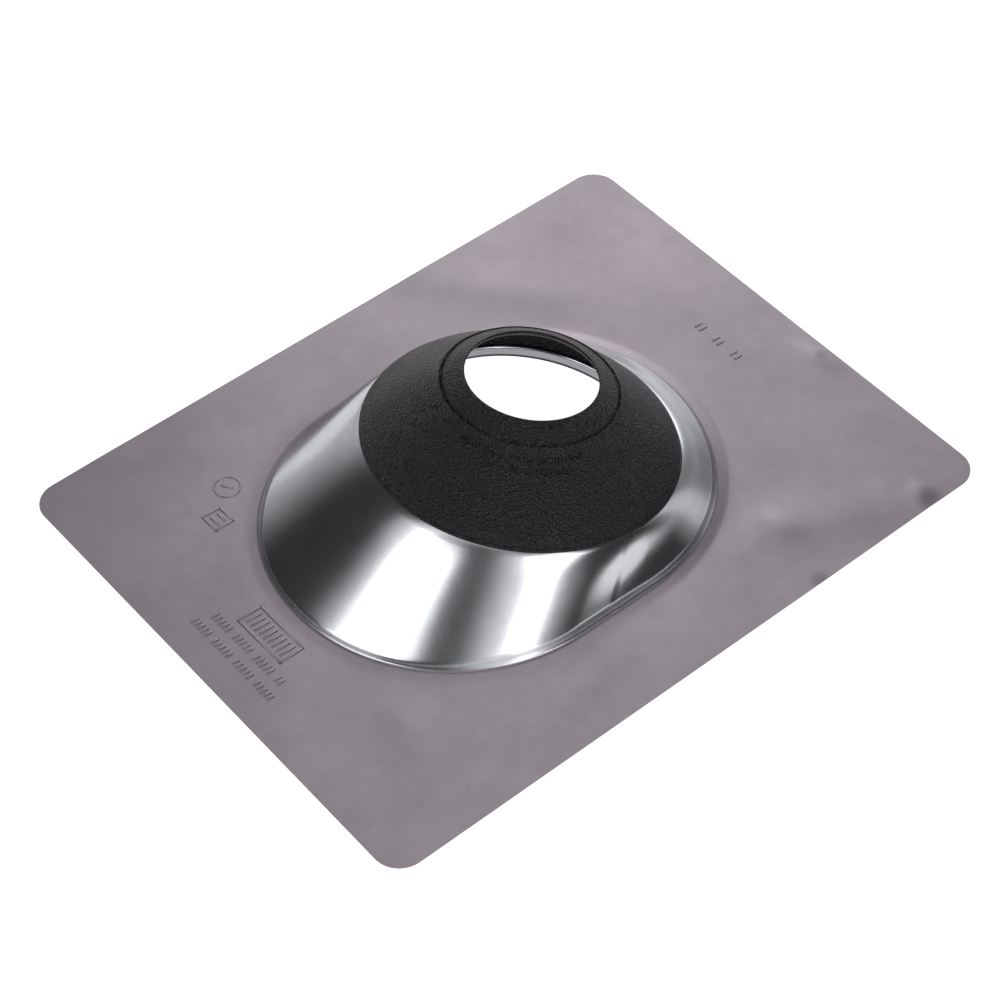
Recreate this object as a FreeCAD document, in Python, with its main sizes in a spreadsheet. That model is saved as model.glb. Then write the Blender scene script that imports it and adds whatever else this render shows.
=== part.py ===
"""Pipe flashing boot: a pressed steel base and a rubber collar, in millimetres.

The plate lies flat on the roof with its long side up the slope (+Y) and +Z square to the roof.
The origin is the middle of the plate's underside. The collar and the rim that carries it turn about
one axis, the pipe axis, which leans up the slope.
"""
import FreeCAD, Part
import Sketcher
import math
import os

SIZES = {
    # Plate.
    "plate_width": 317.5,
    "plate_length": 406.4,
    "plate_corner": 15.5,
    "gauge": 0.55,
    # Foot of the dome: a stadium with its straight sides along the slope.
    "foot_radius": 104.0,
    "foot_straight": 47.0,
    "foot_drop": 12.2,
    "swell_width": 8.0,
    "swell_rise": 1.0,
    # Crease between the leaning wall and the dome, in a plane that rises up the slope.
    "crease_inset": 2.3,
    "crease_height": 6.2,
    "crease_tilt": 1.0,
    "side_panel_angle": 11.0,
    # Pipe axis.
    "pipe_lean": 10.0,
    "axis_shift": 5.1,
    # Rim of the dome, measured out from and along the pipe axis.
    "shoulder_top": 36.0,
    "lip_radius": 70.0,
    "lip_depth": 6.5,
    "roll_radius": 0.8,
    # Rubber collar, measured out from and along the pipe axis.
    "hole_radius": 35.7,
    "hole_height": 75.8,
    "tear_ring_radius": 48.2,
    "tear_ring_height": 67.9,
    "skirt_radius": 86.9,
    "skirt_height": 34.2,
    "skirt_round": 4.5,
    "edge_height": 1.6,
    "edge_ledge": 0.6,
    "rubber_drop": 3.3,
    "collar_foot_inset": 1.8,
    "seat_drop": 4.4,
    "hole_bevel": 0.6,
    "tear_groove_width": 1.4,
    "tear_groove_depth": 0.8,
    "tear_bead_width": 1.4,
    "tear_bead_height": 0.5,
}

doc = FreeCAD.newDocument("pipe_flashing_boot")
sizes = doc.addObject("Spreadsheet::Sheet", "sizes")
for row, (alias, value) in enumerate(SIZES.items(), start=1):
    sizes.set(f"A{row}", alias)
    sizes.set(f"B{row}", str(value))
    sizes.setAlias(f"B{row}", alias)
doc.recompute()

# How the sketcher numbers its own axes, and the points of a line or arc.
X_AXIS, Y_AXIS = range(-1, -3, -1)
START, END, CENTRE = range(1, 4)
ORIGIN_POINT = (X_AXIS, START)

# Formulas shared by the steel rim and the rubber that sits on it.
SEAT_HEIGHT = "(sizes.skirt_height - sizes.seat_drop)"
SHOULDER_SLOPE = f"((sizes.shoulder_top - {SEAT_HEIGHT}) / (sizes.skirt_radius - sizes.lip_radius))"
LEAN = "(sizes.pipe_lean * 1deg)"
COLLAR_FOOT_RADIUS = "(sizes.lip_radius + sizes.collar_foot_inset)"


# ---------------------------------------------------------------- sketches and features

def add_body(name):
    """A body whose label is also the name of its file."""
    body = doc.addObject("PartDesign::Body", name)
    body.Label = name
    return body


def add_sketch(body, name, plane_role):
    """An empty sketch on one of the body's own origin planes."""
    sketch = body.newObject("Sketcher::SketchObject", name)
    plane = next(item for item in body.Origin.OriginFeatures if item.Role == plane_role)
    sketch.AttachmentSupport = [(plane, "")]
    sketch.MapMode = "FlatFace"
    return sketch


def name_and_bind(sketch, index, name, formula):
    """Name a dimension and tie it to the sheet."""
    sketch.renameConstraint(index, name)
    sketch.setExpression(f"Constraints.{name}", formula)


def pin_point(sketch, geometry, point, name, across, along):
    """Hold a sketch point at a distance across and along from the sketch origin."""
    for kind, suffix, formula in (("DistanceX", "across", across), ("DistanceY", "along", along)):
        value = float(sketch.evalExpression(formula))
        index = sketch.addConstraint(Sketcher.Constraint(kind, *ORIGIN_POINT, geometry, point, value))
        name_and_bind(sketch, index, f"{name}_{suffix}", formula)


def profile_sketch(body, name, plane_role, corners):
    """A closed outline of straight lines; corners is a list of (name, across, along) formulas."""
    sketch = add_sketch(body, name, plane_role)
    places = [FreeCAD.Vector(float(sketch.evalExpression(across)), float(sketch.evalExpression(along)), 0)
              for _, across, along in corners]
    lines = [sketch.addGeometry(Part.LineSegment(place, places[(i + 1) % len(places)]))
             for i, place in enumerate(places)]
    for i, line in enumerate(lines):
        following = lines[(i + 1) % len(lines)]
        sketch.addConstraint(Sketcher.Constraint("Coincident", line, END, following, START))
        pin_point(sketch, line, START, *corners[i])
    return sketch


def stadium_sketch(body, name, radius, height, tilted=False):
    """Two half rounds joined by straight sides, level or in the crease's plane."""
    sketch = add_sketch(body, name, "XY_Plane")
    reach = float(sketch.evalExpression(radius))
    half = SIZES["foot_straight"] / 2
    axis = FreeCAD.Vector(0, 0, 1)
    up, side = FreeCAD.Vector(0, half, 0), FreeCAD.Vector(reach, 0, 0)
    right = sketch.addGeometry(Part.LineSegment(side - up, side + up))
    top = sketch.addGeometry(Part.ArcOfCircle(Part.Circle(up, axis, reach), 0, math.pi))
    left = sketch.addGeometry(Part.LineSegment(up - side, -side - up))
    bottom = sketch.addGeometry(Part.ArcOfCircle(Part.Circle(-up, axis, reach), math.pi, math.tau))
    for first, second in ((right, top), (top, left), (left, bottom), (bottom, right)):
        sketch.addConstraint(Sketcher.Constraint("Tangent", first, END, second, START))
    sketch.addConstraint(Sketcher.Constraint("PointOnObject", top, CENTRE, Y_AXIS))
    sketch.addConstraint(Sketcher.Constraint("PointOnObject", bottom, CENTRE, Y_AXIS))
    index = sketch.addConstraint(Sketcher.Constraint("Radius", top, reach))
    name_and_bind(sketch, index, "reach", radius)
    index = sketch.addConstraint(Sketcher.Constraint("DistanceY", bottom, CENTRE, top, CENTRE, 2 * half))
    name_and_bind(sketch, index, "straight", "sizes.foot_straight")
    index = sketch.addConstraint(Sketcher.Constraint("DistanceY", bottom, CENTRE, *ORIGIN_POINT, half))
    name_and_bind(sketch, index, "half_straight", "sizes.foot_straight / 2")
    sketch.setExpression("AttachmentOffset.Base.y", "-sizes.foot_drop")
    sketch.setExpression("AttachmentOffset.Base.z", height)
    if tilted:
        tilt = FreeCAD.Rotation(FreeCAD.Vector(1, 0, 0), SIZES["crease_tilt"])
        sketch.AttachmentOffset = FreeCAD.Placement(FreeCAD.Vector(0, 0, 0), tilt)
        sketch.setExpression("AttachmentOffset.Rotation.Angle", "sizes.crease_tilt")
    return sketch


def leaning_ring_sketch(body, name, radius, height):
    """A circle square to the pipe axis, in four arcs that answer the stadium's four sides."""
    sketch = add_sketch(body, name, "XY_Plane")
    reach = float(sketch.evalExpression(radius))
    angle = math.radians(SIZES["side_panel_angle"])
    circle = Part.Circle(FreeCAD.Vector(0, 0, 0), FreeCAD.Vector(0, 0, 1), reach)
    stops = [-angle, angle, math.pi - angle, math.pi + angle, math.tau - angle]
    arcs = [sketch.addGeometry(Part.ArcOfCircle(circle, stops[i], stops[i + 1])) for i in range(4)]
    right, top, left, bottom = arcs
    for arc in (right, top, left):
        sketch.addConstraint(Sketcher.Constraint("Coincident", arc, CENTRE, *ORIGIN_POINT))
    for first, second in ((right, top), (top, left), (left, bottom), (bottom, right)):
        sketch.addConstraint(Sketcher.Constraint("Coincident", first, END, second, START))
    sketch.addConstraint(Sketcher.Constraint("Equal", bottom, right))
    sketch.addConstraint(Sketcher.Constraint("Vertical", right, START, right, END))
    sketch.addConstraint(Sketcher.Constraint("Horizontal", top, START, top, END))
    sketch.addConstraint(Sketcher.Constraint("Vertical", left, START, left, END))
    index = sketch.addConstraint(Sketcher.Constraint("Radius", right, reach))
    name_and_bind(sketch, index, "reach", radius)
    index = sketch.addConstraint(Sketcher.Constraint("DistanceX", *ORIGIN_POINT, right, END,
                                                     circle.value(angle).x))
    name_and_bind(sketch, index, "panel_edge", f"{radius} * cos(sizes.side_panel_angle * 1deg)")
    sketch.AttachmentOffset = FreeCAD.Placement(
        FreeCAD.Vector(0, 0, 0), FreeCAD.Rotation(FreeCAD.Vector(-1, 0, 0), SIZES["pipe_lean"]))
    sketch.setExpression("AttachmentOffset.Rotation.Angle", "sizes.pipe_lean")
    sketch.setExpression("AttachmentOffset.Base.y", f"sizes.axis_shift + {height} * sin({LEAN})")
    sketch.setExpression("AttachmentOffset.Base.z", f"{height} * cos({LEAN})")
    return sketch


def lean_section(sketch):
    """Turn a section on the middle plane so that its upright is the pipe axis."""
    sketch.AttachmentOffset = FreeCAD.Placement(
        FreeCAD.Vector(0, 0, 0), FreeCAD.Rotation(FreeCAD.Vector(0, 0, -1), SIZES["pipe_lean"]))
    sketch.setExpression("AttachmentOffset.Rotation.Angle", "sizes.pipe_lean")
    sketch.setExpression("AttachmentOffset.Base.x", "sizes.axis_shift")


def turn(body, name, sketch, kind="Revolution"):
    """Turn a section about its sketch's upright axis, adding or, for a Groove, cutting."""
    feature = body.newObject(f"PartDesign::{kind}", name)
    feature.Profile = sketch
    feature.ReferenceAxis = (sketch, ["V_Axis"])
    feature.Angle = 360
    return feature


def pad(body, name, sketch, length, kind="Pad", reverse=False):
    """Raise or, for a Pocket, cut a sketch by a length."""
    feature = body.newObject(f"PartDesign::{kind}", name)
    feature.Profile = sketch
    feature.setExpression("Length", length)
    feature.Reversed = reverse
    return feature


def loft(body, name, lower, upper, kind="AdditiveLoft"):
    """A ruled loft between two sketches."""
    feature = body.newObject(f"PartDesign::{kind}", name)
    feature.Profile = lower
    feature.Sections = [upper]
    feature.Ruled = True
    return feature


def round_edges(body, name, base, wanted, radius):
    """Round the edges of the feature so far that the test picks out."""
    doc.recompute()
    picked = [f"Edge{i}" for i, edge in enumerate(base.Shape.Edges, start=1) if wanted(edge)]
    if not picked:
        raise RuntimeError(f"{name}: no edge found to round")
    feature = body.newObject("PartDesign::Fillet", name)
    feature.Base = (base, picked)
    feature.setExpression("Radius", radius)
    return feature


# ---------------------------------------------------------------- steel base

def make_steel_base():
    """One pressed sheet: plate, swell, steep wall, lofted dome, shoulder and turned-down lip."""
    body = add_body("steel_base")

    # The flat plate with its round corners.
    plate_outline = profile_sketch(body, "plate_outline", "XY_Plane", [
        ("near_left", "-sizes.plate_width / 2", "-sizes.plate_length / 2"),
        ("near_right", "sizes.plate_width / 2", "-sizes.plate_length / 2"),
        ("far_right", "sizes.plate_width / 2", "sizes.plate_length / 2"),
        ("far_left", "-sizes.plate_width / 2", "sizes.plate_length / 2"),
    ])
    plate = pad(body, "plate", plate_outline, "sizes.gauge")
    round_edges(body, "plate_corners", plate,
                lambda edge: edge.BoundBox.ZLength > SIZES["gauge"] / 2, "sizes.plate_corner")

    # The outside of the pressing, still solid: swell, leaning wall and dome.
    foot = "sizes.foot_radius"
    foot_height = "sizes.gauge + sizes.swell_rise"
    crease = "sizes.foot_radius - sizes.crease_inset"
    swell_reach = "sizes.foot_radius + sizes.swell_width"
    loft(body, "swell",
         stadium_sketch(body, "swell_foot", swell_reach, "sizes.gauge"),
         stadium_sketch(body, "swell_head", foot, foot_height))
    loft(body, "wall",
         stadium_sketch(body, "wall_foot", foot, foot_height),
         stadium_sketch(body, "wall_head", crease, "sizes.crease_height", True))
    loft(body, "dome",
         stadium_sketch(body, "dome_foot", crease, "sizes.crease_height", True),
         leaning_ring_sketch(body, "dome_head", "sizes.skirt_radius", SEAT_HEIGHT))

    # The hollow under it, one sheet thickness inside.
    inner_foot = f"{foot} - 0.7 * sizes.gauge"
    inner_crease = f"{crease} - 0.6 * sizes.gauge"
    under_crease = "sizes.crease_height - 0.9 * sizes.gauge"
    loft(body, "swell_hollow",
         stadium_sketch(body, "swell_hollow_foot", swell_reach, "0"),
         stadium_sketch(body, "swell_hollow_head", inner_foot, "sizes.swell_rise"),
         "SubtractiveLoft")
    loft(body, "wall_hollow",
         stadium_sketch(body, "wall_hollow_foot", inner_foot, "sizes.swell_rise"),
         stadium_sketch(body, "wall_hollow_head", inner_crease, under_crease, True),
         "SubtractiveLoft")
    loft(body, "dome_hollow",
         stadium_sketch(body, "dome_hollow_foot", inner_crease, under_crease, True),
         leaning_ring_sketch(body, "dome_hollow_head", "(sizes.skirt_radius - 0.5 * sizes.gauge)",
                             f"({SEAT_HEIGHT} - sizes.gauge)"), "SubtractiveLoft")
    mouth = profile_sketch(body, "mouth_section", "YZ_Plane", [
        ("axis_low", "0", f"{SEAT_HEIGHT} - 2 * sizes.gauge"),
        ("edge_low", "sizes.skirt_radius - 0.5 * sizes.gauge", f"{SEAT_HEIGHT} - 2 * sizes.gauge"),
        ("edge_high", "sizes.skirt_radius - 0.5 * sizes.gauge", f"{SEAT_HEIGHT} + sizes.gauge"),
        ("axis_high", "0", f"{SEAT_HEIGHT} + sizes.gauge"),
    ])
    lean_section(mouth)
    turn(body, "mouth", mouth, "Groove")

    # The shoulder that carries the collar, and the lip turned down inside it.
    lip_foot = "sizes.shoulder_top - sizes.lip_depth"
    rim_section = profile_sketch(body, "rim_section", "YZ_Plane", [
        ("seat_edge", "sizes.skirt_radius", SEAT_HEIGHT),
        ("shoulder", "sizes.lip_radius", "sizes.shoulder_top"),
        ("lip_inside", "sizes.lip_radius", lip_foot),
        ("lip_outside", "sizes.lip_radius + sizes.gauge", lip_foot),
        ("bend_inside", "sizes.lip_radius + sizes.gauge",
         f"sizes.shoulder_top - sizes.gauge * (1.1 + {SHOULDER_SLOPE})"),
        ("seat_inside", "sizes.skirt_radius - 0.2 * sizes.gauge", f"{SEAT_HEIGHT} - 1.1 * sizes.gauge"),
    ])
    lean_section(rim_section)
    turn(body, "rim", rim_section)

    # The lip's edge is rolled, so that it doesn't cut the rubber or the pipe.
    roll_centre = "(sizes.lip_radius + sizes.gauge - sizes.roll_radius)"
    roll_section = profile_sketch(body, "roll_section", "YZ_Plane", [
        (f"corner_{i}", f"{roll_centre} + sizes.roll_radius * cos({angle} * 1deg)",
         f"{lip_foot} + sizes.roll_radius * sin({angle} * 1deg)")
        for i, angle in enumerate(range(0, 360, 60))
    ])
    lean_section(roll_section)
    turn(body, "lip_roll", roll_section)
    return body


# ---------------------------------------------------------------- rubber collar

def lip_height_at(radius):
    """Height of the lip's outer face at a radius: a cone from the hole down to the tear ring."""
    slope = ("((sizes.hole_height - sizes.tear_ring_height)"
             " / (sizes.tear_ring_radius - sizes.hole_radius))")
    return f"(sizes.hole_height - ({radius} - sizes.hole_radius) * {slope})"


def skirt_height_at(radius):
    """Height of the skirt's outer face at a radius: a cone from the tear ring down to its edge."""
    slope = ("((sizes.tear_ring_height - sizes.skirt_height)"
             " / (sizes.skirt_radius - sizes.edge_ledge - sizes.tear_ring_radius))")
    return f"(sizes.tear_ring_height - ({radius} - sizes.tear_ring_radius) * {slope})"


def make_rubber_collar():
    """One moulding, turned about the pipe axis: lip, tear ring, bell skirt and foot."""
    body = add_body("rubber_collar")
    ring = "sizes.tear_ring_radius"
    groove_start = f"({ring} - sizes.tear_groove_width)"
    groove_middle = f"({ring} - sizes.tear_groove_width / 2)"
    bead_middle = f"({ring} + sizes.tear_bead_width / 2)"
    bead_end = f"({ring} + sizes.tear_bead_width)"
    skirt_corner = "(sizes.skirt_radius - sizes.edge_ledge)"
    bevel_end = "(sizes.hole_radius + sizes.hole_bevel)"

    # The skirt turns down to its edge over a round shoulder, here in two flats.
    skirt_fall = f"atan((sizes.tear_ring_height - sizes.skirt_height) / ({skirt_corner} - {ring}))"
    half_turn = f"((90deg - {skirt_fall}) / 2)"
    tangent = f"(sizes.skirt_round * tan({half_turn}))"
    wall_section = profile_sketch(body, "wall_section", "XZ_Plane", [
        ("hole_top", "sizes.hole_radius", "sizes.hole_height - sizes.hole_bevel"),
        ("lip_top", bevel_end, lip_height_at(bevel_end)),
        ("groove_start", groove_start, lip_height_at(groove_start)),
        ("groove_floor", groove_middle, f"{lip_height_at(groove_middle)} - sizes.tear_groove_depth"),
        ("bead_start", ring, "sizes.tear_ring_height"),
        ("bead_top", bead_middle, f"{skirt_height_at(bead_middle)} + sizes.tear_bead_height"),
        ("bead_end", bead_end, skirt_height_at(bead_end)),
        ("round_start", f"{skirt_corner} - {tangent} * cos({skirt_fall})",
         f"sizes.skirt_height + {tangent} * sin({skirt_fall})"),
        ("round_middle", f"{skirt_corner} - sizes.skirt_round * (1 - cos({half_turn}))",
         f"sizes.skirt_height - {tangent} + sizes.skirt_round * sin({half_turn})"),
        ("round_end", skirt_corner, f"sizes.skirt_height - {tangent}"),
        ("ledge_inner", skirt_corner, f"{SEAT_HEIGHT} + sizes.edge_height + sizes.edge_ledge / 2"),
        ("ledge_outer", "sizes.skirt_radius", f"{SEAT_HEIGHT} + sizes.edge_height"),
        ("seat_outer", "sizes.skirt_radius", SEAT_HEIGHT),
        ("seat_inner", COLLAR_FOOT_RADIUS,
         f"{SEAT_HEIGHT} + (sizes.skirt_radius - {COLLAR_FOOT_RADIUS}) * {SHOULDER_SLOPE}"),
        ("foot_top", COLLAR_FOOT_RADIUS, f"{skirt_height_at(COLLAR_FOOT_RADIUS)} - sizes.rubber_drop"),
        ("ring_under", ring, "sizes.tear_ring_height - sizes.rubber_drop"),
        ("hole_under", "sizes.hole_radius", "sizes.hole_height - sizes.rubber_drop"),
    ])
    turn(body, "wall", wall_section)

    body.Placement = FreeCAD.Placement(
        FreeCAD.Vector(0, SIZES["axis_shift"], 0),
        FreeCAD.Rotation(FreeCAD.Vector(-1, 0, 0), SIZES["pipe_lean"]))
    body.setExpression("Placement.Base.y", "sizes.axis_shift")
    body.setExpression("Placement.Rotation.Angle", "sizes.pipe_lean")
    return body


# ---------------------------------------------------------------- build, check and write

bodies = [make_steel_base(), make_rubber_collar()]
doc.recompute()

for item in doc.Objects:
    if "Invalid" in item.State or "Error" in item.State:
        raise RuntimeError(f"{item.Name} did not build: {item.State}")
for body in bodies:
    if body.Shape.isNull() or not body.Shape.isValid() or len(body.Shape.Solids) != 1:
        raise RuntimeError(f"{body.Label} is not one valid solid")

os.makedirs("parts", exist_ok=True)
for body in bodies:
    body.Shape.exportStep(f"parts/{body.Label}.step")
    print(body.Label, "volume", round(body.Shape.Volume, 1), "box", body.Shape.BoundBox)
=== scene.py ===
"""Looks for the pipe flashing boot: a galvanised plate with a pressed dome, and a black rubber collar.

Everything is in metres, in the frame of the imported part: the plate lies flat with its long side up
the slope (+Y), and the pipe axis leans up the slope.
"""
import math

import bmesh
import bpy
from mathutils import Euler, Matrix, Vector


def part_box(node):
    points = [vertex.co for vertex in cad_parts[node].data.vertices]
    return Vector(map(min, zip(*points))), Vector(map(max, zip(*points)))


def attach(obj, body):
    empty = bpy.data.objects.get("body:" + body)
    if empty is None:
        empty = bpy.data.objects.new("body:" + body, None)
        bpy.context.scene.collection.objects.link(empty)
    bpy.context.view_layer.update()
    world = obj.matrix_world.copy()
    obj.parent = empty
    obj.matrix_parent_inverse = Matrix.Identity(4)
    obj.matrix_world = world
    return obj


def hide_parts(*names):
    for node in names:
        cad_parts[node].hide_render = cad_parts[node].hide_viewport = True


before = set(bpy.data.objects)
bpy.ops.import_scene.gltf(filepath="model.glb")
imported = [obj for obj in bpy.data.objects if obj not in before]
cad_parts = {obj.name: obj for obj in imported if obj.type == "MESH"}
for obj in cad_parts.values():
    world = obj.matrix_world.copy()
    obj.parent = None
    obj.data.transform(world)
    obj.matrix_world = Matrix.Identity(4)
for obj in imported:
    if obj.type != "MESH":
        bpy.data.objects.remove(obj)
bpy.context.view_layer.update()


# ---------------------------------------------------------------- pressed steel base
# One sheet of galvanised steel, 0.55 mm thick: a flat plate that swells softly up to a steep wall,
# then a drawn dome from a stadium foot to the leaning round rim. The rim is folded in to a shoulder
# for the collar, and ends in a lip turned down and rolled.

plate_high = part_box("steel_base")[1]
PLATE_HALF_WIDTH = plate_high.x
PLATE_HALF_LENGTH = plate_high.y
PLATE_CORNER = 0.0155
GAUGE = 0.00055
AROUND = 384                    # points in each ring of the sheet
BEYOND = 0.30                   # a reach that lies outside the plate in every direction

FOOT_RADIUS = 0.104
FOOT_STRAIGHT = 0.047
FOOT_MIDDLE = -0.0122
SWELL_WIDTH = 0.0085
SWELL_RISE = 0.0002
SWELL_RISE_UPHILL = 0.0010      # added at the end up the slope
WALL_LEAN = 0.466               # how far the wall leans in for each unit that it rises
SIDE_PANEL = math.radians(11)   # half the turn that each flat side panel takes up at the rim

LEAN = math.radians(10)
AXIS_SHIFT = 0.0051
RIM_RADIUS, RIM_HEIGHT = 0.0869, 0.0298
LIP_RADIUS, SHOULDER_TOP = 0.0700, 0.0360
LIP_FOOT = 0.0295
ROLL_RADIUS = 0.0008


def on_pipe_axis(radius, angle, height):
    """A place out from and along the leaning pipe axis."""
    across, up_slope = radius * math.cos(angle), radius * math.sin(angle)
    return Vector((across,
                   AXIS_SHIFT + up_slope * math.cos(LEAN) + height * math.sin(LEAN),
                   height * math.cos(LEAN) - up_slope * math.sin(LEAN)))


def on_foot(angle, outside, height):
    """A place on the stadium foot, or outside it by a distance. Angles match the rim's."""
    reach = FOOT_RADIUS + outside
    side = math.cos(angle)
    lean_in = math.asin(max(-1.0, min(1.0, math.sin(angle))))     # -90 to 90 degrees from the sides
    if abs(lean_in) <= SIDE_PANEL:
        place = Vector((math.copysign(reach, side), lean_in / SIDE_PANEL * FOOT_STRAIGHT / 2, 0))
    else:
        turned = (abs(lean_in) - SIDE_PANEL) / (math.pi / 2 - SIDE_PANEL) * math.pi / 2
        place = Vector((math.copysign(reach * math.cos(turned), side),
                        math.copysign(FOOT_STRAIGHT / 2 + reach * math.sin(turned), lean_in), 0))
    return place + Vector((0, FOOT_MIDDLE, height))


def on_plate_edge(toward):
    """The point of the plate's outline, round corners and all, that lies in a direction."""
    far = Vector((toward.x, toward.y)).normalized() * BEYOND
    across, up_slope = PLATE_HALF_WIDTH - PLATE_CORNER, PLATE_HALF_LENGTH - PLATE_CORNER
    inner = Vector((max(-1, min(1, far.x / across)) * across, max(-1, min(1, far.y / up_slope)) * up_slope))
    edge = inner + (far - inner).normalized() * PLATE_CORNER
    return Vector((edge.x, edge.y, 0))


# Soft waves that handling has left in the thin plate: (x, y, half length, half width, turn, height).
WAVES = [
    (0.070, -0.120, 0.060, 0.016, math.radians(-38), 0.0007),
    (0.118, -0.045, 0.050, 0.014, math.radians(-60), 0.0006),
    (-0.125, -0.030, 0.080, 0.020, math.radians(80), 0.0007),
    (-0.120, 0.090, 0.050, 0.016, math.radians(35), 0.0006),
    (0.125, 0.110, 0.060, 0.018, math.radians(60), 0.0008),
    (0.116, 0.093, 0.012, 0.007, math.radians(20), 0.0005),
    (0.150, 0.166, 0.010, 0.005, math.radians(-30), 0.0004),
    (0.040, 0.194, 0.012, 0.005, math.radians(10), 0.0006),
    (-0.030, 0.165, 0.060, 0.020, math.radians(-12), 0.0006),
    (-0.140, -0.130, 0.040, 0.012, math.radians(60), 0.0005),
]


def plate_lift(place):
    """How far a point of the plate stands above flat."""
    lift = 0.0
    for x, y, length, width, turn, height in WAVES:
        dx, dy = place.x - x, place.y - y
        along = (dx * math.cos(turn) + dy * math.sin(turn)) / length
        across = (dy * math.cos(turn) - dx * math.sin(turn)) / width
        lift += height * math.exp(-along * along - across * across)
    return lift


def soft_step(low, high, value):
    """0 below low, 1 above high, and a smooth change between."""
    t = max(0.0, min(1.0, (value - low) / (high - low)))
    return t * t * (3 - 2 * t)


# Each station is a ring of the sheet: where it lies for each angle, and how bright the press left it. The
# rolled hem's rings take the value HEM instead, which darkens them with painted shade.
DULL, BRIGHT, HEM = 0.0, 1.0, -1.0
PLATE_AIM = Vector((0, FOOT_MIDDLE * 0.5, 0))       # half way to the foot's middle, for an even spread
CALM_BAND = 0.03                # the waves fade out over this distance from the swell


def plate_station(share):
    """Ring of the plate: share 0 is its outline and 1 the outer edge of the swell."""
    def place(angle):
        inner = on_foot(angle, SWELL_WIDTH, GAUGE)
        outer = on_plate_edge(on_foot(angle, 0, 0) - PLATE_AIM)
        outer.z = GAUGE
        spot = outer.lerp(inner, share)
        spot.z += plate_lift(spot) * soft_step(0, CALM_BAND, (spot - inner).length)
        return spot
    return place, DULL


def swell_station(share):
    """Ring of the swell: share 0 is its outer edge and 1 the foot of the wall."""
    def place(angle):
        rise = (SWELL_RISE + SWELL_RISE_UPHILL * max(0, math.sin(angle))) * soft_step(0, 1, share)
        outside = SWELL_WIDTH + (foot_sway(angle) - SWELL_WIDTH) * share
        return on_foot(angle, outside, GAUGE + rise)
    return place, DULL


# The wall stands lower at the end down the slope: (degrees round the foot, height of the wall).
WALL_HEIGHTS = [(0, 0.0051), (60, 0.0054), (90, 0.0056), (120, 0.0054), (180, 0.0049), (232, 0.0042),
                (255, 0.0030), (298, 0.0030), (330, 0.0052), (360, 0.0051)]

# Where the foot line strays from its true stadium: (degrees round the foot, spread, distance outside).
STRAYS = [(38, 22, 0.0014), (250, 14, 0.0008), (325, 28, -0.0005)]


def wall_rise(angle):
    """Height of the wall above the foot line, blended between the listed places."""
    degrees = math.degrees(angle) % 360
    for (before, low), (after, high) in zip(WALL_HEIGHTS, WALL_HEIGHTS[1:]):
        if degrees <= after:
            return low + (high - low) * soft_step(before, after, degrees)
    return WALL_HEIGHTS[0][1]


def foot_sway(angle):
    """How far the foot line strays outside its true stadium."""
    degrees = math.degrees(angle) % 360
    return sum(outside * math.exp(-((degrees - middle) / spread) ** 2) for middle, spread, outside in STRAYS)


def wall_point(angle, share):
    """A point of the leaning wall: share 0 is its foot line and 1 the crease."""
    rise = wall_rise(angle) * share
    foot_height = GAUGE + SWELL_RISE + SWELL_RISE_UPHILL * max(0, math.sin(angle)) * (1 - share)
    return on_foot(angle, foot_sway(angle) - rise * WALL_LEAN, foot_height + rise)


FILLET_START = 0.78             # share of the swell where the fillet starts
FILLET_END = 0.42               # share of the wall where it ends


def fillet_station(share):
    """Ring of the fillet that turns the plate up into the wall."""
    def place(angle):
        outer, corner = swell_station(FILLET_START)[0](angle), wall_point(angle, 0)
        inner = wall_point(angle, FILLET_END)
        return outer.lerp(corner, share).lerp(corner.lerp(inner, share), share)
    return place, soft_step(0.3, 0.9, share)        # it brightens over the middle of the turn


def wall_station(share):
    """Ring of the wall, bright from the draw."""
    return (lambda angle: wall_point(angle, share)), BRIGHT


EASE = 0.0062                   # how strongly the dome rounds over below the rim


def dome_point(angle, share):
    """A point of the dome between crease and rim, rounding over softly below the rim."""
    crease, rim = wall_point(angle, 1), on_pipe_axis(RIM_RADIUS, angle, RIM_HEIGHT)
    along = (rim - crease).normalized()
    around = Vector((-math.sin(angle), math.cos(angle), 0))
    outward = around.cross(along)
    if outward.dot(Vector((math.cos(angle), math.sin(angle), 1))) < 0:
        outward = -outward
    return crease.lerp(rim, share) + outward.normalized() * EASE * share ** 3 * (1 - share)


CREASE_START = 0.86             # share of the wall where the crease starts
CREASE_END = 0.03               # share of the dome where it ends


def crease_station(share):
    """Ring of the tightly rounded crease: share 0 is on the wall and 1 on the dome."""
    def place(angle):
        below, beyond = wall_point(angle, CREASE_START), dome_point(angle, CREASE_END)
        crease = wall_point(angle, 1)
        return below.lerp(crease, share).lerp(crease.lerp(beyond, share), share)
    return place, BRIGHT


def dome_station(share):
    """Ring of the dome between the end of the crease and the rim."""
    return (lambda angle: dome_point(angle, share)), BRIGHT


def rim_station(radius, height, burnish_and_hem_shade=BRIGHT):
    """Ring square to the pipe axis."""
    return (lambda angle: on_pipe_axis(radius, angle, height)), burnish_and_hem_shade


PLATE_RINGS, SWELL_RINGS, FILLET_RINGS, CREASE_RINGS, DOME_RINGS = 38, 5, 7, 5, 16
WALL_RING = 0.65                # share of the wall where its one plain ring lies
stations = [plate_station(i / PLATE_RINGS) for i in range(PLATE_RINGS + 1)]
stations += [swell_station(FILLET_START * i / SWELL_RINGS) for i in range(1, SWELL_RINGS)]
stations += [fillet_station(i / FILLET_RINGS) for i in range(FILLET_RINGS + 1)]
stations += [wall_station(WALL_RING)]
stations += [crease_station(i / CREASE_RINGS) for i in range(CREASE_RINGS + 1)]
stations += [dome_station(CREASE_END + (1 - CREASE_END) * i / DOME_RINGS) for i in range(1, DOME_RINGS + 1)]

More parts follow.
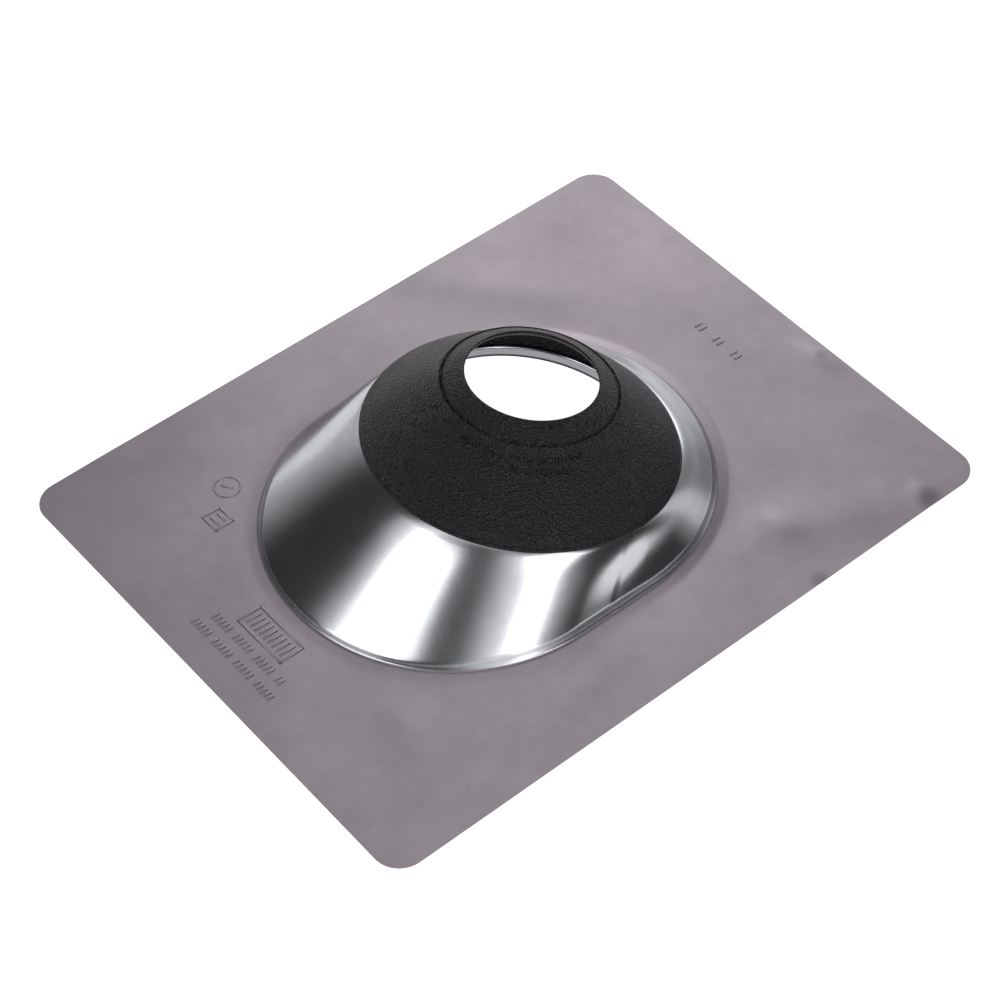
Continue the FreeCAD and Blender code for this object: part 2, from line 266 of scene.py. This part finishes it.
# The shoulder for the collar, the bend over into the lip, and the hem rolled at the lip's foot.
RIM_INSET = 0.0006              # the rim's edge is rounded over this width, and by this much
RIM_ROUND = 0.0001
BEND = 0.0014                   # radius of the bend, and where its centre lies below the shoulder's top
BEND_CENTRE = 1.25
HEM_GAP = 0.0015                # the lip's plain part ends this far above the hem
BEND_RINGS, HEM_RINGS = 5, 12
slope = (SHOULDER_TOP - RIM_HEIGHT) / (RIM_RADIUS - LIP_RADIUS)
stations += [rim_station(RIM_RADIUS - RIM_INSET, RIM_HEIGHT + RIM_INSET * slope + RIM_ROUND)]
for run in (0.008, 0.001):
    stations.append(rim_station(LIP_RADIUS + BEND + run, SHOULDER_TOP - (BEND + run) * slope))
for step in range(BEND_RINGS):
    turned = math.radians(20 + step * 70 / (BEND_RINGS - 1))
    stations.append(rim_station(LIP_RADIUS + BEND - BEND * math.sin(turned),
                                SHOULDER_TOP - BEND * (BEND_CENTRE - math.cos(turned))))
stations += [rim_station(LIP_RADIUS, LIP_FOOT + HEM_GAP)]
# The rolled hem's rings carry HEM, which gives them painted shade in the finish.
for step in range(HEM_RINGS):
    turned = math.radians(-20 + step * 360 / HEM_RINGS)
    stations.append(rim_station(LIP_RADIUS + ROLL_RADIUS - ROLL_RADIUS * math.cos(turned),
                                LIP_FOOT - ROLL_RADIUS * math.sin(turned), HEM))

sheet = bmesh.new()
turn_layer = sheet.verts.layers.float.new("turn")
burnish_and_hem_shade_layer = sheet.verts.layers.float.new("burnish_and_hem_shade")
ring_verts = bmesh.ops.create_circle(sheet, segments=AROUND, radius=PLATE_HALF_WIDTH)["verts"]
for vert in ring_verts:
    vert[turn_layer] = math.atan2(vert.co.y, vert.co.x)
ring_edges = list(sheet.edges)
for number, (place, burnish_and_hem_shade) in enumerate(stations):
    if number > 0:
        grown = bmesh.ops.extrude_edge_only(sheet, edges=ring_edges)["geom"]
        ring_edges = [item for item in grown if isinstance(item, bmesh.types.BMEdge)]
        ring_verts = [item for item in grown if isinstance(item, bmesh.types.BMVert)]
    for vert in ring_verts:
        vert.co = place(vert[turn_layer])
        vert[burnish_and_hem_shade_layer] = burnish_and_hem_shade
bmesh.ops.recalc_face_normals(sheet, faces=sheet.faces)
if sum(face.normal.z * face.calc_area() for face in sheet.faces) < 0:
    bmesh.ops.reverse_faces(sheet, faces=sheet.faces)
bmesh.ops.solidify(sheet, geom=sheet.faces[:], thickness=GAUGE)


def finished_piece(shape, name, sharp_from=None):
    """An object made of a bmesh: smooth but for edges sharper than an angle, or flat where none is given."""
    mesh = bpy.data.meshes.new(name)
    shape.to_mesh(mesh)
    shape.free()
    if sharp_from is not None:
        mesh.polygons.foreach_set("use_smooth", [True] * len(mesh.polygons))
        mesh.set_sharp_from_angle(angle=math.radians(sharp_from))
    piece = bpy.data.objects.new(name, mesh)
    bpy.context.scene.collection.objects.link(piece)
    return piece


steel = finished_piece(sheet, "steel_base_sheet", 40)

galvanised = bpy.data.materials.new("galvanised_sheet")
galvanised.use_nodes = True
nodes, links = galvanised.node_tree.nodes, galvanised.node_tree.links
shader = nodes["Principled BSDF"]
where = nodes.new("ShaderNodeTexCoord")
# The ring values: how bright the press left the sheet, and below 0, painted shade on the rolled hem.
burnish_and_hem_shade = nodes.new("ShaderNodeAttribute")
burnish_and_hem_shade.attribute_name = "burnish_and_hem_shade"


def maths(operation, *values):
    """One Math node over links or plain numbers, in the material or world at hand."""
    node = nodes.new("ShaderNodeMath")
    node.operation = operation
    for socket, value in zip(node.inputs, values):
        if isinstance(value, (int, float)):
            socket.default_value = value
        else:
            links.new(value, socket)
    return node.outputs["Value"]


def stretch(value, start, end, low=0.0, high=1.0, ends="LINEAR"):
    """A value taken from one range to another, and held beyond its ends."""
    node = nodes.new("ShaderNodeMapRange")
    node.interpolation_type = ends
    for socket, number in (("From Min", start), ("From Max", end), ("To Min", low), ("To Max", high)):
        node.inputs[socket].default_value = number
    links.new(value, node.inputs["Value"])
    return node.outputs["Result"]


def cloudy(scale, detail, low, high):
    """Cloudy pattern over a piece, stretched between two values."""
    cloud = nodes.new("ShaderNodeTexNoise")
    cloud.inputs["Scale"].default_value = scale
    cloud.inputs["Detail"].default_value = detail
    links.new(where.outputs["Object"], cloud.inputs["Vector"])
    return stretch(cloud.outputs["Fac"], 0.3, 0.7, low, high)


def scuff(x, y, size, shade):
    """Shade of a soft scuff left round one place of the plate, and 1 away from it."""
    away = nodes.new("ShaderNodeVectorMath")
    away.operation = "DISTANCE"
    away.inputs[1].default_value = (x, y, GAUGE)
    links.new(where.outputs["Object"], away.inputs[0])
    return stretch(away.outputs["Value"], size * 0.2, size, shade, 1.0, ends="SMOOTHSTEP")


def bumpy(height, distance, strength):
    """Tilt the finish's shading by a height pattern."""
    node = nodes.new("ShaderNodeBump")
    node.inputs["Distance"].default_value = distance
    node.inputs["Strength"].default_value = strength
    links.new(height, node.inputs["Height"])
    links.new(node.outputs["Normal"], shader.inputs["Normal"])


# Scuffs of handling and storage: (x, y, radius, shade at the middle).
SCUFFS = [
    (0.153, 0.167, 0.011, 0.66),
    (0.157, 0.083, 0.008, 0.72),
    (0.040, 0.197, 0.006, 0.75),
    (0.124, 0.128, 0.030, 0.93),
    (-0.150, -0.118, 0.030, 0.88),
    (0.098, 0.178, 0.024, 0.94),
]
ZINC_WITH_PAINTED_TINT = (0.395, 0.350, 0.392, 1)             # the plate's zinc grey as it left the mill, with a painted mauve tint standing for the studio's reflection
DRAWN_STEEL = (0.745, 0.76, 0.80, 1)        # the wall and dome, polished by the press
HEM_PAINTED_SHADE = 0.16                            # painted shade: the rolled hem's colour is darkened to this share

# The dull zinc skin scatters some light. Drawn steel is bare, and smoother.
links.new(stretch(burnish_and_hem_shade.outputs["Fac"], DULL, BRIGHT, 0.72, 1.0), shader.inputs["Metallic"])

# The mill finish: soft clouds about a hand wide, smaller mottling, and a fine grain.
shade = maths("MULTIPLY", cloudy(14, 3, 0.91, 1.09), cloudy(90, 3, 0.965, 1.035))
shade = maths("MULTIPLY", shade, cloudy(1100, 2, 0.96, 1.04))
for x, y, size, middle in SCUFFS:
    shade = maths("MULTIPLY", shade, scuff(x, y, size, middle))
# Painted shade: the rolled hem's colour is darkened, standing in for the shadow and dark reflection under
# its curl.
shade = maths("MULTIPLY", shade, stretch(burnish_and_hem_shade.outputs["Fac"], HEM, DULL, HEM_PAINTED_SHADE, 1.0))
# Base colour from dull zinc, which carries a painted mauve tint of the studio's reflection, to drawn steel.
base = nodes.new("ShaderNodeMix")
base.data_type = "RGBA"
base.inputs["A"].default_value = ZINC_WITH_PAINTED_TINT
base.inputs["B"].default_value = DRAWN_STEEL
links.new(burnish_and_hem_shade.outputs["Fac"], base.inputs["Factor"])
shaded = nodes.new("ShaderNodeVectorMath")
shaded.operation = "SCALE"
links.new(base.outputs["Result"], shaded.inputs["Vector"])
links.new(shade, shaded.inputs["Scale"])
links.new(shaded.outputs["Vector"], shader.inputs["Base Color"])
rough = stretch(burnish_and_hem_shade.outputs["Fac"], DULL, BRIGHT, 0.31, 0.17)
links.new(maths("MULTIPLY", rough, cloudy(700, 2, 0.93, 1.07)), shader.inputs["Roughness"])
bumpy(cloudy(1500, 2, 0, 1), distance=0.000008, strength=0.14)
steel.data.materials.append(galvanised)
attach(steel, "root")
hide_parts("steel_base")


# ---------------------------------------------------------------- marks pressed into the plate
# Low rounded ridges of the same sheet, pressed up from below. They carry no words: a framed row of
# bars and two plain rows at the low end, a ring, a square, and three pairs of bars at the high end.

RIDGE_WIDTH = 0.0014
RIDGE_HEIGHT = 0.00055
RIDGE_ROUND = 0.8               # share of the height that its rounded edges take up
SQUARE_EDGE = 1.4               # radians: the bars' edges are sharper than this, and the ring's aren't
UPRIGHT = math.pi / 2
marks = bmesh.new()


def press_bar(x, y, length, turn=0.0):
    """A straight ridge centred on a place and turned from +X."""
    spot = Matrix.Translation((x, y, GAUGE)) @ Matrix.Rotation(turn, 4, "Z")
    bmesh.ops.create_cube(marks, size=1,
                          matrix=spot @ Matrix.Diagonal((length, RIDGE_WIDTH, RIDGE_HEIGHT * 2, 1)))


def press_frame(x, y, length, width):
    """Four ridges round a box."""
    for side in (-1, 1):
        press_bar(x, y + side * width / 2, length + RIDGE_WIDTH)
        press_bar(x + side * length / 2, y, width + RIDGE_WIDTH, UPRIGHT)


FRAME_ROW, FRAME_PITCH = -0.159, 0.0036
press_frame(0.0, FRAME_ROW, 0.036, 0.0145)
for i in range(9):
    press_bar((i - 4) * FRAME_PITCH, FRAME_ROW, 0.0095, UPRIGHT)
ROW_PITCH = 0.0030
for row, count in ((-0.1735, 20), (-0.1835, 23)):
    for i in range(count):
        if i % 6 != 5:                              # a gap after every fifth bar
            press_bar((i - (count - 1) / 2) * ROW_PITCH, row, 0.0048, UPRIGHT)
for pair in (-0.0195, -0.005, 0.0095):
    for offset in (-0.0019, 0.0019):
        press_bar(pair + offset, 0.160, 0.0052, UPRIGHT)
SQUARE_X, SQUARE_Y = -0.081, -0.1335
press_frame(SQUARE_X, SQUARE_Y, 0.0120, 0.0110)
for step in (-0.0022, 0.0022):
    press_bar(SQUARE_X, SQUARE_Y + step, 0.0070)
RING_RADIUS = 0.0072
RING_STEPS = 48
SUNK = -0.0002                  # the ring's ridge starts this far below the plate's face
RING_PLACE = Vector((-0.0965, -0.1160, GAUGE))
ring = [marks.verts.new(RING_PLACE + Vector((RING_RADIUS + out, 0, up)))
        for out, up in ((-RIDGE_WIDTH / 2, SUNK), (-RIDGE_WIDTH / 4, RIDGE_HEIGHT),
                        (RIDGE_WIDTH / 4, RIDGE_HEIGHT), (RIDGE_WIDTH / 2, SUNK))]
ring_loop = [marks.edges.new((ring[i], ring[i - 1])) for i in range(4)]
bmesh.ops.spin(marks, geom=ring + ring_loop, cent=RING_PLACE, axis=(0, 0, 1), angle=math.tau,
               steps=RING_STEPS, use_merge=True, use_duplicate=False)
press_bar(RING_PLACE.x, RING_PLACE.y, 0.0070, math.radians(35))
top_edges = [edge for edge in marks.edges
             if len(edge.link_faces) == 2 and edge.calc_face_angle() > SQUARE_EDGE
             and min(end.co.z for end in edge.verts) > GAUGE + RIDGE_HEIGHT / 2]
bmesh.ops.bevel(marks, geom=top_edges, offset=RIDGE_HEIGHT * RIDGE_ROUND, offset_type="OFFSET",
                affect="EDGES", segments=2, profile=0.5, material=-1)
for vert in marks.verts:
    vert.co.z += plate_lift(vert.co)
bmesh.ops.recalc_face_normals(marks, faces=marks.faces)
pressed_marks = finished_piece(marks, "steel_base_marks", 50)
pressed_marks.data.materials.append(galvanised)
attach(pressed_marks, "root")
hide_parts("steel_base")


# ---------------------------------------------------------------- rubber collar
# One moulding of black rubber that sits on the steel shoulder: the pipe hole, a tear ring that
# comes off for the next pipe size, and a bell skirt with a ledge along its edge.

HOLE_RADIUS, HOLE_HEIGHT = 0.0357, 0.0758
TEAR_RADIUS, TEAR_HEIGHT = 0.0482, 0.0679
SKIRT_RADIUS, SKIRT_HEIGHT = 0.0869, 0.0342
FOOT_INSIDE = 0.0718
WALL = 0.0033
EDGE_INSET = 0.0006             # the skirt's face ends this far inside its widest edge
COLLAR_STEPS = 288

corner = SKIRT_RADIUS - EDGE_INSET
lip_slope = (HOLE_HEIGHT - TEAR_HEIGHT) / (TEAR_RADIUS - HOLE_RADIUS)
skirt_slope = (TEAR_HEIGHT - SKIRT_HEIGHT) / (corner - TEAR_RADIUS)


def lip_face(radius, drop=0.0):
    """Radius and height of a point on the lip's face, or under it by a drop."""
    return radius, HOLE_HEIGHT - (radius - HOLE_RADIUS) * lip_slope - drop


def skirt_face(radius, drop=0.0):
    """Radius and height of a point on the skirt's face, or under it by a drop."""
    return radius, TEAR_HEIGHT - (radius - TEAR_RADIUS) * skirt_slope - drop


# The collar's section from the hole outwards: the lip, the tear groove and the bead beside it, the
# skirt, its rounded edge and the ledge; then back inside, along the foot, the skirt and the lip.
section = [(HOLE_RADIUS, HOLE_HEIGHT - 0.0008), (HOLE_RADIUS + 0.0003, HOLE_HEIGHT - 0.0003),
           lip_face(HOLE_RADIUS + 0.0009), lip_face(HOLE_RADIUS + 0.005)]
section += [lip_face(TEAR_RADIUS - 0.0018), lip_face(TEAR_RADIUS - 0.0013, 0.0007),
            lip_face(TEAR_RADIUS - 0.0008, 0.0010), lip_face(TEAR_RADIUS - 0.0003, 0.0005),
            skirt_face(TEAR_RADIUS + 0.0002, -0.0004), skirt_face(TEAR_RADIUS + 0.0007, -0.0007),
            skirt_face(TEAR_RADIUS + 0.0012, -0.0004), skirt_face(TEAR_RADIUS + 0.0017)]
section += [skirt_face(TEAR_RADIUS + 0.0016 + 0.0042 * i) for i in range(1, 8)]
LEDGE = RIM_HEIGHT + 0.0016
EDGE_ROUND = 0.0060             # the rounding starts this far inside the skirt's corner
EDGE_STEPS = 8
start = Vector(skirt_face(corner - EDGE_ROUND))
peak = Vector((corner, SKIRT_HEIGHT + 0.0004))
stop = Vector((corner, LEDGE + 0.0003))
for step in range(EDGE_STEPS + 1):
    t = step / EDGE_STEPS
    section.append(tuple(start.lerp(peak, t).lerp(peak.lerp(stop, t), t)))
section += [(SKIRT_RADIUS - 0.0001, LEDGE), (SKIRT_RADIUS, LEDGE - 0.0002), (SKIRT_RADIUS, RIM_HEIGHT)]
section += [(FOOT_INSIDE, RIM_HEIGHT + (SKIRT_RADIUS - FOOT_INSIDE) * slope),
            skirt_face(FOOT_INSIDE, WALL), skirt_face(TEAR_RADIUS, WALL),
            lip_face(HOLE_RADIUS + 0.0020, WALL), lip_face(HOLE_RADIUS + 0.0006, WALL - 0.0009),
            lip_face(HOLE_RADIUS, WALL - 0.0020)]

rubber = bmesh.new()
profile = [rubber.verts.new(Vector((radius, 0, height))) for radius, height in section]
for i, vert in enumerate(profile):
    rubber.edges.new((vert, profile[(i + 1) % len(profile)]))
bmesh.ops.spin(rubber, geom=rubber.verts[:] + rubber.edges[:], cent=(0, 0, 0), axis=(0, 0, 1),
               angle=math.tau, steps=COLLAR_STEPS, use_merge=True, use_duplicate=False)
bmesh.ops.remove_doubles(rubber, verts=rubber.verts, dist=1e-6)
bmesh.ops.recalc_face_normals(rubber, faces=rubber.faces)


def lean_up_slope(shape):
    """Set a shape made about an upright axis on the leaning pipe axis."""
    bmesh.ops.rotate(shape, verts=shape.verts, cent=(0, 0, 0), matrix=Euler((-LEAN, 0, 0)).to_matrix())
    bmesh.ops.translate(shape, verts=shape.verts, vec=(0, AXIS_SHIFT, 0))


lean_up_slope(rubber)
collar = finished_piece(rubber, "rubber_collar_moulding", 50)

black_rubber = bpy.data.materials.new("black_rubber")
black_rubber.use_nodes = True
nodes, links = black_rubber.node_tree.nodes, black_rubber.node_tree.links
shader = nodes["Principled BSDF"]
shader.inputs["Base Color"].default_value = (0.0055, 0.005, 0.0085, 1)
shader.inputs["Specular IOR Level"].default_value = 0.44
where = nodes.new("ShaderNodeTexCoord")
pebbles = nodes.new("ShaderNodeTexVoronoi")
pebbles.feature = "SMOOTH_F1"
pebbles.inputs["Scale"].default_value = 880
pebbles.inputs["Smoothness"].default_value = 0.5
links.new(where.outputs["Object"], pebbles.inputs["Vector"])
links.new(cloudy(60, 4, 0.24, 0.38), shader.inputs["Roughness"])
bumpy(pebbles.outputs["Distance"], distance=0.0008, strength=1.0)
collar.data.materials.append(black_rubber)
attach(collar, "root")
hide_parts("rubber_collar")


# ---------------------------------------------------------------- ticks moulded on the collar
# Two rows of small raised ticks under the tear ring, part of the same black rubber moulding, on the
# side that looks down the slope. They are plain strokes and carry no words.

TICK_SIZE = (0.0026, 0.0007, 0.0012)        # along the skirt, round it, and through it
TICK_PITCH = 0.0016
TICK_ROWS = [(0.0535, 278, 352), (0.0580, 296, 348)]        # (radius, first and last degrees round the axis)
skirt_turn = math.atan(skirt_slope)
ticks = bmesh.new()
for radius, first, last in TICK_ROWS:
    pitch = math.degrees(TICK_PITCH / radius)
    out, up = skirt_face(radius)
    for step in range(int((last - first) / pitch)):
        if step % 9 not in (4, 8):                          # gaps, after four ticks and after three
            place = (Matrix.Rotation(math.radians(first + step * pitch), 4, "Z")
                     @ Matrix.Translation((out, 0, up)) @ Matrix.Rotation(skirt_turn, 4, "Y"))
            bmesh.ops.create_cube(ticks, size=1, matrix=place @ Matrix.Diagonal((*TICK_SIZE, 1)))
lean_up_slope(ticks)
moulded_ticks = finished_piece(ticks, "rubber_collar_ticks")
moulded_ticks.data.materials.append(black_rubber)
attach(moulded_ticks, "root")
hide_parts("rubber_collar")


# ---------------------------------------------------------------- studio: floor, light and camera
# A plain white floor under the plate, soft boxes around it given by the world, and one camera.

UNDER_PLATE = -0.0003           # the floor's height, just clear of the plate's underside
bpy.ops.mesh.primitive_plane_add(size=30, location=(0, 0, UNDER_PLATE))
floor = bpy.context.object
floor.name = "studio_floor"
floor_finish = bpy.data.materials.new("studio_floor")
floor_finish.use_nodes = True
nodes, links = floor_finish.node_tree.nodes, floor_finish.node_tree.links
shader = nodes["Principled BSDF"]
shader.inputs["Base Color"].default_value = (0.9, 0.9, 0.9, 1)
shader.inputs["Roughness"].default_value = 0.9
shader.inputs["Specular IOR Level"].default_value = 0.0
shader.inputs["Emission Color"].default_value = (1, 1, 1, 1)
FLOOR_GLOW = 0.93
ray = nodes.new("ShaderNodeLightPath")
where = nodes.new("ShaderNodeTexCoord")
floor_split = nodes.new("ShaderNodeSeparateXYZ")
links.new(where.outputs["Object"], floor_split.inputs["Vector"])

# The floor shows white, and reflections of it are dimmer, brightest beside the right soft box.
in_gloss = maths("MULTIPLY", ray.outputs["Is Glossy Ray"],
                 stretch(floor_split.outputs["X"], 0.3, 1.5, 0.35, 1.1))
seen = maths("MAXIMUM", ray.outputs["Is Camera Ray"], in_gloss)
links.new(maths("MULTIPLY", seen, FLOOR_GLOW), shader.inputs["Emission Strength"])
floor.data.materials.append(floor_finish)

world = bpy.data.worlds.new("studio")
bpy.context.scene.world = world
world.use_nodes = True
nodes, links = world.node_tree.nodes, world.node_tree.links
sky = nodes["Background"]
where = nodes.new("ShaderNodeTexCoord")

AMBIENT = 0.032

# Soft panels round the object: (azimuth, half width, low edge, high edge, softness, strength), in degrees.
PANELS = [
    (268, 17, 38, 56, 9, 1.9),        # tall soft box in front
    (244, 6, 50, 70, 12, 0.60),
    (264, 16, 58, 70, 10, 0.40),
    (268, 10, 0, 36, 10, 0.65),
    (4, 13, 40, 54, 10, 1.9),         # soft box on the right
    (355, 3, -12, 36, 6, 1.3),
    (345, 2, -15, 50, 32, 0.75),
    (305, 12, 0, 65, 10, 0.04),       # dim gap between the two
    (73, 4, -10, 17, 8, 0.34),        # backdrop on the far side
    (128, 14, -10, 20, 18, 0.32),
    (100, 38, -10, 60, 12, 0.17),
    (141, 5, 24, 57, 11, 1.15),
    (124, 12, 20, 35, 8, 0.85),
    (165, 12, -10, 16, 28, 0.45),
    (0, 180, 80, 90, 8, 0.60),        # overhead
]


split = nodes.new("ShaderNodeSeparateXYZ")
links.new(where.outputs["Generated"], split.inputs["Vector"])
turn = maths("ARCTAN2", split.outputs["Y"], split.outputs["X"])
height = maths("ARCSINE", split.outputs["Z"])


def soft_edge(value, outside, inside):
    """0 outside a panel's edge and 1 inside it; both places are in degrees."""
    return stretch(value, math.radians(outside), math.radians(inside), ends="SMOOTHSTEP")


def add_panel(total, azimuth, half_width, low, high, soft, strength):
    """Add a soft-edged light panel; its angles are from +X and from the floor."""
    off = maths("WRAP", maths("SUBTRACT", turn, math.radians(azimuth)), math.pi, -math.pi)
    beside = maths("ABSOLUTE", off)
    across = soft_edge(beside, half_width + soft, half_width)
    above = soft_edge(height, low - soft, low)
    below = soft_edge(height, high + soft, high)
    glow = maths("MULTIPLY", maths("MULTIPLY", across, above), maths("MULTIPLY", below, strength))
    return maths("ADD", total, glow)


level = AMBIENT
for panel in PANELS:
    level = add_panel(level, *panel)

# The camera sees plain white behind the object, and the panels only light it.
ray = nodes.new("ShaderNodeLightPath")
show_white = nodes.new("ShaderNodeMix")
show_white.data_type = "FLOAT"
show_white.inputs["B"].default_value = 1.0
links.new(ray.outputs["Is Camera Ray"], show_white.inputs["Factor"])
links.new(level, show_white.inputs["A"])
links.new(show_white.outputs["Result"], sky.inputs["Strength"])
sky.inputs["Color"].default_value = (1, 1, 1, 1)

camera = bpy.data.objects.new("camera", bpy.data.cameras.new("camera"))
bpy.context.scene.collection.objects.link(camera)
camera.location = (0.77642, -0.64029, 1.15040)
camera.rotation_euler = Euler((math.radians(40.884), math.radians(0.492), math.radians(50.124)))
camera.data.lens = 101.88
camera.data.sensor_width = 36
bpy.context.scene.camera = camera
bpy.context.scene.view_settings.view_transform = "Standard"
